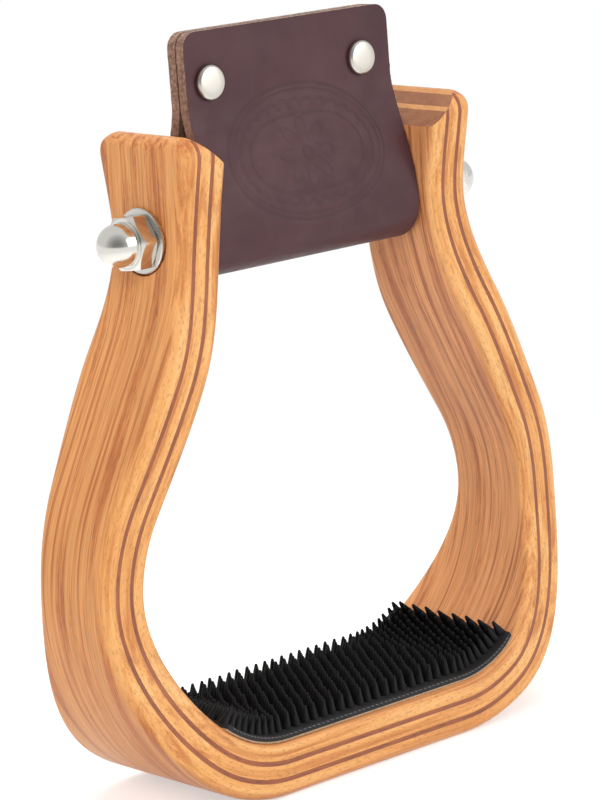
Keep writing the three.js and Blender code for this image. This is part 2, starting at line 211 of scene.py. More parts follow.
def wood_finish(name, pale, mid, dark, line, streak_spacing, shift=0.0):
    finish = Finish(name)

    def grained(along, across, start_y, start_z, **shape):
        """A pattern with so many clouds to a metre along the grain and across it."""
        spot = finish.place("grain", (along, across, across), (shift, start_y, start_z))
        return finish.noise(spot, **shape)

    streaks = 1 / streak_spacing
    warmth = grained(8, 70, 3, 7)
    ring = grained(12, streaks, 0, 0, detail=5, roughness=0.62, distortion=0.25)
    thin = grained(10, 2.1 * streaks, 4, 2, detail=3, roughness=0.6)
    fibre = grained(70, 3000, 1, 5)
    slit = grained(260, 4200, 9, 2, detail=1)
    fleck = grained(620, 2600, 5, 1)

    body = finish.ramp(ring, [(0.36, dark), (0.45, mid), (0.53, pale), (0.68, mid)])
    thin_line = finish.remap(thin, 0.45, 0.36, 0.0, 0.65)
    body = finish.mix(thin_line, body, line)
    body = finish.tinted(body, warmth, (0.90, 0.85, 0.80), (1.06, 1.06, 1.05))
    body = finish.tinted(body, fibre, (0.82, 0.77, 0.72), (1.08, 1.08, 1.08))

    early = finish.remap(ring, 0.54, 0.40)
    open_pore = finish.times(finish.remap(slit, 0.58, 0.66), early)
    body = finish.mix(finish.times(open_pore, 0.7), body, pore_colour)

    sawn = finish.ramp(ring, [(0.36, sawn_dark), (0.50, sawn_mid), (0.62, sawn_pale)])
    sawn = finish.mix(finish.times(thin_line, 0.5), sawn, line)
    speckle = finish.remap(fleck, 0.56, 0.66, 0.0, 0.55)
    sawn = finish.mix(speckle, sawn, fleck_colour)
    body = finish.mix(finish.share_of("sawn_side"), body, sawn)

    finish.set(Base_Color=body, Specular_IOR_Level=0.35, Coat_Weight=0.1, Coat_Roughness=0.3)
    finish.set(Roughness=finish.remap(fibre, 0.3, 0.7, 0.38, 0.50))
    height = finish.math("SUBTRACT", finish.times(fibre, 0.25), open_pore)
    finish.relief(height, depth=0.06 * mm, strength=0.6)
    return finish.material
sawn_dark = chart(212, 134, 72)

face_wood = wood_finish(
    "honey_wood",
    pale=chart(243, 175, 110),
    mid=chart(233, 158, 95),
    dark=chart(208, 126, 72),
    line=chart(184, 98, 54),
    streak_spacing=3.4 * mm,
)
# The inner layer's finish is a darker, pinker copy of the face wood: painted shade with a painted
# reddish bounce from the leather. Its closer streaks are its own grain.
inner_wood_painted_shade = wood_finish(
    "pink_wood_painted_shade",
    pale=chart(241, 173, 116),
    mid=chart(228, 155, 101),
    dark=chart(198, 120, 73),
    line=chart(156, 84, 48),
    streak_spacing=2.6 * mm,
    shift=0.37,
)
print("finishes:", face_wood.name, inner_wood_painted_shade.name)

# %% [markdown]
# Where a strip is cut across, its open pores drink in the varnish and it goes dark brown.
# That is what the bevelled top of each leg shows, with paler lines between the dark ones.
# The two thin layers have their grain turned across the band, so it is the other way round:
# their cut ends are the dark lines that run all the way along the edge.


# %% End grain and the thin cross layers
def end_grain_finish(name, pale, dark, pore):
    finish = Finish(name)
    patch = finish.noise(finish.place("grain", (60, 240, 500)), detail=3, roughness=0.6)
    dot = finish.noise(finish.place("grain", (300, 3000, 3000)), detail=1)
    open_pore = finish.remap(dot, 0.58, 0.68)
    body = finish.ramp(patch, [(0.3, dark), (0.7, pale)])
    body = finish.mix(finish.times(open_pore, 0.6), body, pore)
    finish.set(Base_Color=body, Roughness=0.5, Coat_Weight=0.25, Coat_Roughness=0.3)
    finish.relief(finish.times(open_pore, -1.0), depth=0.05 * mm, strength=0.6)
    return finish.material


end_wood = end_grain_finish(
    "cut_end_wood", chart(178, 116, 74), chart(150, 92, 56), chart(104, 60, 34)
)
dark_line_wood = end_grain_finish(
    "cross_layer_edge", chart(172, 96, 52), chart(138, 70, 36), chart(100, 50, 28)
)
cross_wood = end_grain_finish(
    "cross_layer_top", chart(238, 172, 106), chart(220, 150, 90), chart(176, 110, 64)
)
print("finishes:", end_wood.name, dark_line_wood.name, cross_wood.name)

# %% [markdown]
# The nuts, washers and rivets are bright plated steel. Bare metal is only as interesting as
# what it mirrors, so the finish is a clean metal with faint polishing marks in its roughness.


# %% Steel and nickel
def metal_finish(name, colour, smoothest, roughest):
    finish = Finish(name)
    marks = finish.noise(finish.place(scale=(900, 2600, 2600)), detail=3)
    clouds = finish.noise(finish.place(scale=(180, 180, 180)))
    wear = finish.math("ADD", finish.times(marks, 0.5), finish.times(clouds, 0.5))
    finish.set(Base_Color=colour, Metallic=1.0)
    finish.set(Roughness=finish.remap(wear, 0.35, 0.65, smoothest, roughest))
    finish.relief(marks, depth=0.004 * mm, strength=0.4)
    return finish.material


polished_steel = metal_finish("polished_steel", chart(226, 223, 216), 0.14, 0.22)
dull_steel = metal_finish("washer_steel", chart(214, 211, 205), 0.24, 0.34)
nickel = metal_finish("rivet_nickel", chart(214, 209, 200), 0.28, 0.38)
print("finishes:", polished_steel.name, dull_steel.name, nickel.name)

# %% [markdown]
# The cover is one strip of chrome-tanned leather. Its outer side is smooth, dark and slightly
# purple, with a very fine grain. The cut edges and the inner side are raw and brown, with
# fibres that can be seen. Three finishes make the one strip.


# %% Leather
def smooth_leather():
    finish = Finish("smooth_leather")
    spot = finish.place()
    cloud = finish.noise(spot, scale=45, detail=4, roughness=0.6)
    pores = finish.add("TexVoronoi", {"Vector": spot, "Scale": 1500}, feature="SMOOTH_F1")
    pull = finish.noise(finish.place(scale=(160, 700, 90)), detail=3)
    body = finish.ramp(
        cloud,
        [(0.30, chart(70, 40, 45)), (0.52, chart(79, 47, 52)), (0.75, chart(86, 53, 57))],
    )
    # Painted shade: the colour goes darker in a shadow ring round each rivet cap and in the stamp's
    # grooves.
    shade_strength = finish.times(finish.share_of("painted_shade"), 0.5)
    body = finish.mix(shade_strength, body, chart(60, 42, 44))
    finish.set(Base_Color=body, Specular_IOR_Level=0.35)
    finish.set(Roughness=finish.remap(pull, 0.3, 0.7, 0.46, 0.58))
    pebbles = finish.times(pores.outputs["Distance"], -0.5)
    height = finish.math("ADD", pebbles, finish.times(pull, 0.4))
    finish.relief(height, depth=0.05 * mm, strength=0.55)
    return finish.material


def raw_leather(name, pale, mid, dark, roughness):
    finish = Finish(name)
    spot = finish.place()
    tufts = finish.noise(spot, scale=900, detail=4, roughness=0.7, distortion=0.6)
    cloud = finish.noise(spot, scale=140)
    body = finish.ramp(tufts, [(0.30, dark), (0.50, mid), (0.68, pale)])
    body = finish.tinted(body, cloud, (0.82, 0.80, 0.78), (1.1, 1.1, 1.1))
    finish.set(Base_Color=body, Roughness=roughness, Sheen_Weight=0.2, Sheen_Roughness=0.5)
    finish.relief(tufts, depth=0.25 * mm, strength=0.8)
    return finish.material


grain_side = smooth_leather()
cut_edge = raw_leather(
    "raw_leather_edge", chart(186, 150, 128), chart(150, 113, 94), chart(92, 62, 50), 0.85
)
flesh_side = raw_leather(
    "raw_leather_inside", chart(150, 116, 96), chart(122, 90, 74), chart(84, 58, 46), 0.95
)
print("finishes:", grain_side.name, cut_edge.name, flesh_side.name)

# %% [markdown]
# The tread is black rubber with two cotton plies in it, one near the top and one as backing.
# Rubber is nearly black, but a rough black surface seen at a flat angle mirrors the pale
# room, and that is part of why the plain border looks grey while the cones look black. The
# rest is a painted reflection: the sheet's base colour is a lighter grey than the cones'.


# %% Rubber and cotton
dusty_rubber = chart(40, 40, 43)


def rubber_finish(name, colour, smoothest):
    finish = Finish(name)
    dust = finish.noise(finish.place(), scale=260, detail=4, roughness=0.65)
    specks = finish.noise(finish.place(), scale=2600)
    body = finish.mix(finish.remap(dust, 0.35, 0.75, 0.0, 0.3), colour, dusty_rubber)
    finish.set(Base_Color=body, Specular_IOR_Level=0.3)
    finish.set(Roughness=finish.remap(dust, 0.3, 0.7, smoothest, smoothest + 0.14))
    finish.relief(specks, depth=0.03 * mm, strength=0.5)
    return finish.material


def cotton_finish(name, pale, dark):
    finish = Finish(name)
    yarn = finish.noise(finish.place(), scale=2200, detail=3, roughness=0.7)
    body = finish.ramp(yarn, [(0.3, dark), (0.7, pale)])
    finish.set(Base_Color=body, Roughness=0.9, Sheen_Weight=0.3, Sheen_Roughness=0.5)
    finish.relief(yarn, depth=0.08 * mm, strength=0.7)
    return finish.material


# Painted reflection: the sheet's base is a lighter grey than the cones' true black.
rubber_sheet_painted_reflection = rubber_finish("rubber_sheet_painted_reflection", chart(34, 34, 36), 0.52)
rubber_cones = rubber_finish("rubber_cones", chart(4, 4, 5), 0.55)
grey_yarn = cotton_finish("grey_cotton", chart(130, 129, 127), chart(74, 74, 74))
tan_canvas = cotton_finish("tan_canvas", chart(206, 174, 138), chart(150, 116, 84))
print("finishes:", rubber_sheet_painted_reflection.name, rubber_cones.name, grey_yarn.name, tan_canvas.name)


# %% [markdown]
# Each piece is finished the same way: its normals are made to point outwards, its smooth
# runs are shaded smooth and its true edges stay sharp, and it rides on its CAD body.


# %% Helpers for pieces
usual_sharp_angle = 35 * degree


def shade(bm, sharp_angle):
    for face in bm.faces:
        face.smooth = True
    for edge in bm.edges:
        edge.smooth = len(edge.link_faces) == 2 and edge.calc_face_angle(0) < sharp_angle


def make_piece(
    name, bm, finishes, body, slot, *nodes, sharp_angle=usual_sharp_angle, outward=True
):
    """A finished object from a bmesh, riding on its body in place of the CAD nodes."""
    if outward:
        bmesh.ops.recalc_face_normals(bm, faces=bm.faces)
    shade(bm, sharp_angle)
    mesh = bpy.data.meshes.new(name)
    bm.to_mesh(mesh)
    bm.free()
    for finish in finishes:
        mesh.materials.append(finish)
    piece = bpy.data.objects.new(name, mesh)
    bpy.context.scene.collection.objects.link(piece)
    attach(piece, body)
    if nodes:
        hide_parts(*nodes)
    print(name, len(mesh.polygons), "faces for", ", ".join(nodes) or "no node")
    return piece


def apply_modifiers(piece):
    """Keeps what the modifiers made as the piece's own mesh."""
    depsgraph = bpy.context.evaluated_depsgraph_get()
    depsgraph.update()
    finished = bpy.data.meshes.new_from_object(piece.evaluated_get(depsgraph))
    piece.modifiers.clear()
    piece.data = finished


# %% [markdown]
# The wooden band follows one line: flat under the foot, round the lower corners, up the
# belly, in along a straight lean and up into the neck. The line is a list of straights and
# bends, so each run is one spin: along a straight for a straight run, about the bend's
# centre for a bend. The same line later tells any point how far along the band it lies.

# %% The line of the band
layer_thicknesses = [4.8 * mm, 1.3 * mm, 3.6 * mm, 1.3 * mm, 4.8 * mm]
half_stack = sum(layer_thicknesses) / 2
frame_height = 184 * mm
tread_flat = 34.2 * mm
corner_radius = 42.4 * mm
corner_turn = 45.5 * degree
belly_radius = 58.5 * mm
lean_angle = 117.7 * degree
lean_length = 38 * mm
neck_radius = 85.7 * mm
top_corner = 6.5 * mm

belly_turn = lean_angle - corner_turn
neck_turn = 90 * degree - lean_angle
lower_runs = [
    (tread_flat, 0),
    (corner_radius * corner_turn, corner_turn),
    (belly_radius * belly_turn, belly_turn),
    (lean_length, 0),
    (-neck_radius * neck_turn, neck_turn),
]


class Place:
    """A place on the band's line: how far along, where, and which way it heads."""

    def __init__(self, along, x, z, heading):
        self.along = along
        self.x = x
        self.z = z
        self.heading = heading

    def advance(self, length, bend):
        heading = self.heading + bend
        if bend == 0:
            x = self.x + length * math.cos(heading)
            z = self.z + length * math.sin(heading)
        else:
            radius = length / bend
            x = self.x + radius * (math.sin(heading) - math.sin(self.heading))
            z = self.z + radius * (math.cos(self.heading) - math.cos(heading))
        return Place(self.along + length, x, z, heading)

    def beside(self, across, outward):
        x = self.x + outward * math.sin(self.heading)
        z = self.z - outward * math.cos(self.heading)
        return Vector((x, across, z))

    def mirrored(self):
        return Place(-self.along, -self.x, self.z, -self.heading)


middle = Place(0, 0, half_stack, 0)
neck_start = middle
for length, bend in lower_runs:
    neck_start = neck_start.advance(length, bend)
neck_length = frame_height - top_corner - neck_start.z
right_runs = lower_runs + [(neck_length, 0), (top_corner, 0)]
half_length = sum(length for length, bend in right_runs)
neck_x = neck_start.x
all_runs = [*reversed(right_runs), *right_runs]


def place_at(along):
    """Any place on the line, from the left top (negative) to the right top (positive)."""
    place = middle
    rest = abs(along)
    for length, bend in right_runs:
        step = min(rest, length)
        place = place.advance(step, bend * step / length)
        rest -= step
    return place.mirrored() if along < 0 else place


sample_step = 0.25 * mm
sample_count = int(half_length / sample_step)
samples = [place_at(i * sample_step) for i in range(-sample_count, sample_count + 1)]
line_tree = kdtree.KDTree(len(samples))
for i, sample in enumerate(samples):
    line_tree.insert((sample.x, 0, sample.z), i)
line_tree.balance()


def band_coordinates(point):
    """How far along the band a point lies, and how far outward from its middle line."""
    sample = samples[line_tree.find((point.x, 0, point.z))[1]]
    dx = point.x - sample.x
    dz = point.z - sample.z
    along = sample.along + dx * math.cos(sample.heading) + dz * math.sin(sample.heading)
    outward = dx * math.sin(sample.heading) - dz * math.cos(sample.heading)
    return along, outward


print("band length", round(2 * half_length / mm, 1), "mm, neck at x", round(neck_x / mm, 2), "mm")

# %% [markdown]
# The band is widest under the foot, narrows up the belly, swells at the lean and again at
# the top. A maker saws that outline out of the bent blank and then runs a router round its
# edges. Both are written as rules: how wide the band is at any place along it, and how large
# the cutter's radius is there. It gets smaller at the lower corners, as in the photograph.

# %% The outline and the rounded edges
tread_half_width = 25.5 * mm
width_stations = [
    (56 * mm, tread_half_width),
    (115.7 * mm, 13.8 * mm),
    (175 * mm, 17.7 * mm),
    (210.2 * mm, 14.35 * mm),
    (250.1 * mm, 19.3 * mm),
]
outer_round_over = 3.5 * mm
lower_round_over = 1.5 * mm
lower_corner_along = 66 * mm
lower_corner_reach = 22 * mm
inner_round_over = 2.5 * mm
top_round_over = 3.5 * mm


def half_width(along):
    distance = abs(along)
    if distance <= width_stations[0][0]:
        return tread_half_width
    for (low, low_half), (high, high_half) in zip(width_stations, width_stations[1:]):
        if distance <= high:
            share = (distance - low) / (high - low)
            ease = share * share * (3 - 2 * share)
            return low_half + (high_half - low_half) * ease
    return width_stations[-1][1]


def rounded_inset(radius, below):
    """How far a rounded corner draws a side in, at a distance below the top."""
    rest = max(radius - below, 0)
    return radius - math.sqrt(max(radius * radius - rest * rest, 0))


def side_at(along, height):
    return half_width(along) - rounded_inset(top_corner, frame_height - height)


def outer_radius(along):
    share = math.exp(-(((abs(along) - lower_corner_along) / lower_corner_reach) ** 2))
    return outer_round_over + (lower_round_over - outer_round_over) * share


for station, half in width_stations:
    print("half width", round(half / mm, 2), "mm at", round(station / mm, 1), "mm along")

# %% [markdown]
# A length of band could be swept as a curve, but its width and its rounding change along the
# way. So a ring of points is spun along the line, run by run. Each point knows which side,
# which face and which part of a rounded edge it stands for, and then moves to its place.

# %% Make a length of band
run_step = 2.5 * mm
shortest_run = 0.01 * mm
top_steps = 14
arc_steps = 6
least_wall = 0.3 * mm
ring_marks = ("ring_side", "ring_face", "ring_angle")


def ring_points(rounded_face):
    """The ring's points as (side, face, angle); a sharp corner has a negative angle."""
    angles = [90 * degree * step / arc_steps for step in range(arc_steps + 1)]
    points = []
    for side, face, rising in ((-1, 0, True), (1, 0, False), (1, 1, True), (-1, 1, False)):
        if face == rounded_face:
            points += [(side, face, angle) for angle in (angles if rising else angles[::-1])]
        else:
            points.append((side, face, -1))
    return points


def first_ring(bm, start, inside, outside, rounded_face):
    """The ring at the band's left end. Its points are marked, and only roughly placed."""
    layers = [bm.verts.layers.float.new(name) for name in ring_marks]
    ring = []
    for point in ring_points(rounded_face):
        side, face, angle = point
        lift = max(angle, 0) / (90 * degree)
        vert = bm.verts.new(start.beside(side * (1 - 0.5 * lift), outside if face else inside))
        for layer, value in zip(layers, point):
            vert[layer] = value
        ring.append(vert)
    edges = [bm.edges.new((ring[i - 1], ring[i])) for i in range(len(ring))]
    return ring + edges


def carry_along(bm, ring, place, reach):
    """Spins the ring along each straight and bend between the two ends."""
    travelled = -half_length
    for index, (length, bend) in enumerate(all_runs):
        part = min(travelled + length, reach) - max(travelled, -reach)
        travelled += length
        if part < shortest_run:
            continue
        turn_by = bend * part / length
        at_top = index in (0, len(all_runs) - 1)
        steps = top_steps if at_top else max(1, math.ceil(part / run_step))
        if bend == 0:
            forward = Vector((math.cos(place.heading), 0, math.sin(place.heading)))
            path = {"dvec": forward * part / steps, "axis": (0, 1, 0)}
        else:
            path = {"cent": place.beside(0, -length / bend), "axis": (0, -1, 0), "angle": turn_by}
        ring = bmesh.ops.spin(bm, geom=ring, steps=steps, **path)["geom_last"]
        place = place.advance(part, turn_by)


def gathered(along):
    """Brings the rows of the last stretch closer together toward the rounded top."""
    climb = (abs(along) - (half_length - top_corner)) / top_corner
    if climb <= 0:
        return along
    climb = math.sin(90 * degree * min(climb, 1))
    return math.copysign(half_length - top_corner + top_corner * climb, along)


def band(inside, outside, reach=half_length, inset=0, rounded_face=None, radius_at=None):
    """A closed bar between two depths of the stack, reaching that far along each way."""
    bm = bmesh.new()
    start = place_at(-reach)
    carry_along(bm, first_ring(bm, start, inside, outside, rounded_face), start, reach)
    ends = [edge for edge in bm.edges if len(edge.link_faces) == 1]
    bmesh.ops.holes_fill(bm, edges=ends, sides=0)
    layers = [bm.verts.layers.float[name] for name in ring_marks]
    for vert in bm.verts:
        side, face, angle = [vert[layer] for layer in layers]
        along = gathered(band_coordinates(vert.co)[0])
        place = place_at(along)
        half = side_at(along, place.z) - inset
        depth, other_depth = (outside, inside) if face else (inside, outside)
        if depth == half_stack:
            depth -= rounded_inset(top_round_over, frame_height - place.z)
        across = side * half
        if angle >= 0:
            radius = min(radius_at(along), abs(depth - other_depth) - least_wall)
            across = side * (half - radius + radius * math.cos(angle))
            depth -= (1 if face else -1) * radius * (1 - math.sin(angle))
        vert.co = place.beside(across, depth)
    for name in ring_marks:
        bm.verts.layers.float.remove(bm.verts.layers.float[name])
    bmesh.ops.recalc_face_normals(bm, faces=bm.faces)
    return bm


# %% [markdown]
# The inside of each leg's top has a 39 degree bevel through four of the five layers. It is a
# plane cut, and its new face is cut end grain, so it gets that finish. The bolt's hole and
# the flat seats of the washers are drilled, which is a boolean with a round cutter. Every
# point then stores its place in the grain, and how close it is to the sawn sides.

# %% Cuts on the leg tops
top_bevel_angle = 39 * degree
bevel_start_x = neck_x + half_stack - layer_thicknesses[0]
leg_tops_above = 160 * mm
bolt_height = 156 * mm
bolt_hole_radius = 5.05 * mm
hole_sides = 48
sawn_fade = 2.4 * mm


def bevel_tops(bm, finish_index):
    for side in (-1, 1):
        leg = [v for v in bm.verts if v.co.x * side > 0 and v.co.z > leg_tops_above]
        chosen = set(leg)
        edges = [e for e in bm.edges if all(v in chosen for v in e.verts)]
        faces = [f for f in bm.faces if all(v in chosen for v in f.verts)]
        normal = Vector((-side * math.sin(top_bevel_angle), 0, math.cos(top_bevel_angle)))
        result = bmesh.ops.bisect_plane(
            bm,
            geom=leg + edges + faces,
            plane_co=(side * bevel_start_x, 0, frame_height),
            plane_no=normal,
            dist=0.001 * mm,
            clear_outer=True,
        )
        rim = [e for e in result["geom_cut"] if isinstance(e, bmesh.types.BMEdge)]
        filled = bmesh.ops.contextual_create(bm, geom=rim)
        for face in filled["faces"]:
            face.material_index = finish_index


def drill(piece, radius, side, from_x, to_x):
    """Takes a round hole at the bolt's height out of one leg, between two distances."""
    cutter_mesh = bpy.data.meshes.new("cutter")
    bm = bmesh.new()
    bmesh.ops.create_cone(
        bm,
        cap_ends=True,
        segments=hole_sides,
        radius1=radius,
        radius2=radius,
        depth=to_x - from_x,
    )
    middle = Matrix.Translation((side * (from_x + to_x) / 2, 0, bolt_height))
    bmesh.ops.transform(bm, matrix=middle @ Matrix.Rotation(90 * degree, 4, "Y"), verts=bm.verts)
    bm.to_mesh(cutter_mesh)
    bm.free()
    cutter = bpy.data.objects.new("cutter", cutter_mesh)
    bpy.context.scene.collection.objects.link(cutter)
    hole = piece.modifiers.new("hole", "BOOLEAN")
    hole.operation = "DIFFERENCE"
    hole.solver = "EXACT"
    hole.object = cutter
    apply_modifiers(piece)
    bpy.data.objects.remove(cutter)


def store_grain(piece):
    """Writes where in the band each point lies, and how far it is on a sawn side."""
    attributes = piece.data.attributes
    attributes.new("grain", "FLOAT_VECTOR", "POINT")
    attributes.new("sawn_side", "FLOAT", "POINT")
    grain = attributes["grain"]
    sawn = attributes["sawn_side"]
    for vert, place, share in zip(piece.data.vertices, grain.data, sawn.data):
        along, outward = band_coordinates(vert.co)
        place.vector = (along, vert.co.y, outward)
        from_side = half_width(along) - abs(vert.co.y)
        share.value = min(max(1 - from_side / sawn_fade, 0), 1)


def settle_normals(piece):
    """Flat faces keep flat shading beside rounded edges."""
    weighted = piece.modifiers.new("flat_faces", "WEIGHTED_NORMAL")
    weighted.keep_sharp = True


# %% [markdown]
# The layers are made one by one, from the outside in. Only the outermost and the innermost
# have an edge that the router rounded. A thin cross layer shows its dark cut ends on the two
# sawn sides of the band, so the faces there get the dark line's finish.

# %% The five layers
cross_finishes = [cross_wood, cross_wood, dark_line_wood]
bevel_finish = 1
sawn_side_finish = 2
layer_plan = [
    ("outer_layer", "outer_ply", "wood", [face_wood]),
    ("outer_cross_layer", "outer_veneer", "cross_wood", cross_finishes),
    ("middle_layer", "middle_ply", "wood", [face_wood, end_wood]),
    ("inner_cross_layer", "inner_veneer", "cross_wood", cross_finishes),
    ("inner_layer", "inner_ply", "wood", [inner_wood_painted_shade, end_wood]),
]
rounding = {
    "outer_layer": {"rounded_face": 1, "radius_at": outer_radius},
    "inner_layer": {"rounded_face": 0, "radius_at": lambda along: inner_round_over},
}
drill_margin = 5 * mm
washer_seat_radius = 9.5 * mm
washer_seat_height = 8 * mm

layers = []
outside = half_stack
for (name, node, slot, finishes), thickness in zip(layer_plan, layer_thicknesses):
    bm = band(outside - thickness, outside, **rounding.get(name, {}))
    if outside < half_stack:
        bevel_tops(bm, bevel_finish)
    if slot == "cross_wood":
        for face in bm.faces:
            if abs(face.normal.y) > 0.5:
                face.material_index = sawn_side_finish
    piece = make_piece(name, bm, finishes, "frame", slot, node)
    layers.append(piece)
    outside -= thickness

inner_x = neck_x - half_stack - drill_margin
outer_x = neck_x + half_stack
for side in (-1, 1):
    for piece in layers:
        drill(piece, bolt_hole_radius, side, inner_x, outer_x + drill_margin)
for side in (-1, 1):
    drill(layers[0], washer_seat_radius, side, outer_x, outer_x + washer_seat_height)

for piece in layers:
    store_grain(piece)
    settle_normals(piece)
print("layers:", len(layers), "with", sum(len(piece.data.polygons) for piece in layers), "faces")

# %% [markdown]
# A cap nut is turned and then milled: a solid of revolution with six flats. Nuts, washers
# and rivets all begin the same way, as an outline that is spun round, as on a lathe.


# %% Turned pieces
def turned(outline, sides=64):
    """A closed solid of revolution about Z, from (radius, height) points."""
    bm = bmesh.new()
    verts = [bm.verts.new((radius, 0, height)) for radius, height in outline]
    edges = [bm.edges.new(pair) for pair in zip(verts, verts[1:])]
    bmesh.ops.spin(
        bm, geom=verts + edges, axis=(0, 0, 1), angle=360 * degree, steps=sides, use_merge=True
    )
    bmesh.ops.remove_doubles(bm, verts=bm.verts, dist=0.001 * mm)
    return bm


def aim(bm, matrix):
    bmesh.ops.transform(bm, matrix=matrix, verts=bm.verts)
    return bm


def on_leg(side, x):
    """Stands a turned piece on the bolt: its Z axis points out of that leg."""
    return Matrix.Translation((side * x, 0, bolt_height)) @ Matrix.Rotation(side * 90 * degree, 4, "Y")


# %% [markdown]
# The wall of the nut's hexagon is spun as round as its corners reach, and then pressed in to
# the flats. The chamfer's edge drops where the hexagon reaches out, which gives the curved
# lines that a real nut has.

# %% Washers and cap nuts
washer_radius = 9 * mm
washer_thickness = 1.6 * mm
washer_edge = 0.3 * mm
nut_across_flats = 14.3 * mm
nut_hex_height = 5.2 * mm
nut_dome_radius = 5.9 * mm
nut_dome_fillet = 0.4 * mm
nut_height = 13.4 * mm
nut_bore_depth = 8.5 * mm
nut_chamfer = 30 * degree
nut_chamfer_drop = 0.3 * mm
nut_turn = 7 * degree
nut_sides = 96
dome_steps = 14

sixth = 60 * degree
corner_reach = nut_across_flats / 2 / math.cos(sixth / 2)
chamfer_start = nut_across_flats / 2 - 0.25 * mm


def hexagon_reach(angle):
    """How far the hexagon reaches from its middle in a direction."""
    from_flat = (angle - nut_turn + sixth / 2) % sixth - sixth / 2
    return nut_across_flats / 2 / math.cos(from_flat)


def cap_nut():
    outline = [
        (0, nut_bore_depth),
        (bolt_hole_radius, nut_bore_depth),
        (bolt_hole_radius, 0),
        (chamfer_start, 0),
        (corner_reach, nut_chamfer_drop),
        (corner_reach, nut_hex_height - nut_chamfer_drop),
        (chamfer_start, nut_hex_height),
        (nut_dome_radius + 0.75 * nut_dome_fillet, nut_hex_height),
        (nut_dome_radius + 0.2 * nut_dome_fillet, nut_hex_height + 0.3 * nut_dome_fillet),
        (nut_dome_radius, nut_hex_height + nut_dome_fillet),
    ]
    dome_middle = nut_height - nut_dome_radius
    for step in range(dome_steps):
        angle = 90 * degree * step / dome_steps
        height = dome_middle + nut_dome_radius * math.sin(angle)
        outline.append((nut_dome_radius * math.cos(angle), height))
    outline.append((0, nut_height))
    bm = turned(outline, nut_sides)
    for vert in bm.verts:
        reach = math.hypot(vert.co.x, vert.co.y)
        if reach < corner_reach - 0.01 * mm:
            continue
        wanted = hexagon_reach(math.atan2(vert.co.y, vert.co.x))
        drop = (wanted - chamfer_start) * math.tan(nut_chamfer)
        vert.co.x *= wanted / reach
        vert.co.y *= wanted / reach
        vert.co.z = nut_hex_height - drop if vert.co.z > nut_hex_height / 2 else drop
    return bm


washer_outline = [
    (bolt_hole_radius, 0),
    (washer_radius - washer_edge, 0),
    (washer_radius, washer_edge),
    (washer_radius, washer_thickness - washer_edge),
    (washer_radius - washer_edge, washer_thickness),
    (bolt_hole_radius, washer_thickness),
    (bolt_hole_radius, 0),
]
for side, hand in ((-1, "left"), (1, "right")):
    washer = aim(turned(washer_outline, sides=72), on_leg(side, outer_x))
    make_piece(f"flat_washer_{hand}", washer, [dull_steel], "frame", "steel", f"washer_{hand}")
    nut = aim(cap_nut(), on_leg(side, outer_x + washer_thickness))
    piece = make_piece(
        f"dome_nut_{hand}",
        nut,
        [polished_steel],
        "frame",
        "steel",
        f"cap_nut_{hand}",
        sharp_angle=22 * degree,
    )
    settle_normals(piece)

for name in ("bolt", "bolt_sleeve"):
    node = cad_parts[name]
    node.data.materials.clear()
    node.data.materials.append(dull_steel)

# %% [markdown]
# The bolt cover is one strip of leather, folded round the bolt like a teardrop and riveted
# above it. Its outer surface is drawn as a line in the side view and swept across the
# width. The rows are close together on the front, where the tooling needs them.

# %% The line of the cover
cover_half_width = 38.4 * mm
cover_thickness = 3 * mm
cover_top = 209.5 * mm
cover_lean = 2 * degree
cover_corner_radius = 4.5 * mm
flap_gap = 0.4 * mm
flap_straight_from = 190 * mm
loop_centre_height = 154 * mm
loop_radius = 9.7 * mm
loop_leave = 13 * mm
loop_arrive = 8 * mm
flap_middle = (cover_thickness + flap_gap) / 2
corner_steps = 9
front_step = 0.45 * mm
back_step = 1.6 * mm


def bezier(a, b, c, d, share):
    rest = 1 - share
    return rest**3 * a + 3 * rest**2 * share * b + 3 * rest * share**2 * c + share**3 * d


def half_cover(step):
    """One side of the cover's middle line as (y, z), from the bottom of the loop to the top."""
    points = []
    loop_steps = max(6, round(90 * degree * loop_radius / step))
    for i in range(loop_steps):
        angle = -90 * degree + 90 * degree * i / loop_steps
        height = loop_centre_height + loop_radius * math.sin(angle)
        points.append(Vector((loop_radius * math.cos(angle), height)))
    side = Vector((loop_radius, loop_centre_height))
    leave = Vector((loop_radius, loop_centre_height + loop_leave))
    arrive = Vector((flap_middle, flap_straight_from - loop_arrive))
    meet = Vector((flap_middle, flap_straight_from))
    neck_steps = round((meet - side).length / step)
    for i in range(neck_steps):
        points.append(bezier(side, leave, arrive, meet, i / neck_steps))
    corner_start = cover_top - cover_corner_radius
    straight = corner_start - flap_straight_from
    straight_steps = round(straight / step)
    for i in range(straight_steps):
        points.append(Vector((flap_middle, flap_straight_from + straight * i / straight_steps)))
    for i in range(corner_steps + 1):
        height = corner_start + cover_corner_radius * math.sin(90 * degree * i / corner_steps)
        points.append(Vector((flap_middle, height)))
    return points


front = [Vector((-p.x, p.y)) for p in reversed(half_cover(front_step)[1:])]
middle_line = front + half_cover(back_step)


def outer_line():
    """The middle line moved out by half of the leather's thickness."""
    moved = []
    for i, point in enumerate(middle_line):
        before = middle_line[max(i - 1, 0)]
        after = middle_line[min(i + 1, len(middle_line) - 1)]
        forward = (after - before).normalized()
        moved.append(point + Vector((forward.y, -forward.x)) * cover_thickness / 2)
    return moved


print("cover line:", len(middle_line), "points")

# %% [markdown]
# The front of the cover carries a blind stamp, an oval pressed into damp leather without any
# colour. It is a plain pattern from a saddler's tools: two rings, a row of scallops between
# them, and a rosette in the middle. It is real relief, so it catches the light from any side.
# Its grooves are also painted darker, as shade, when the cover is made.

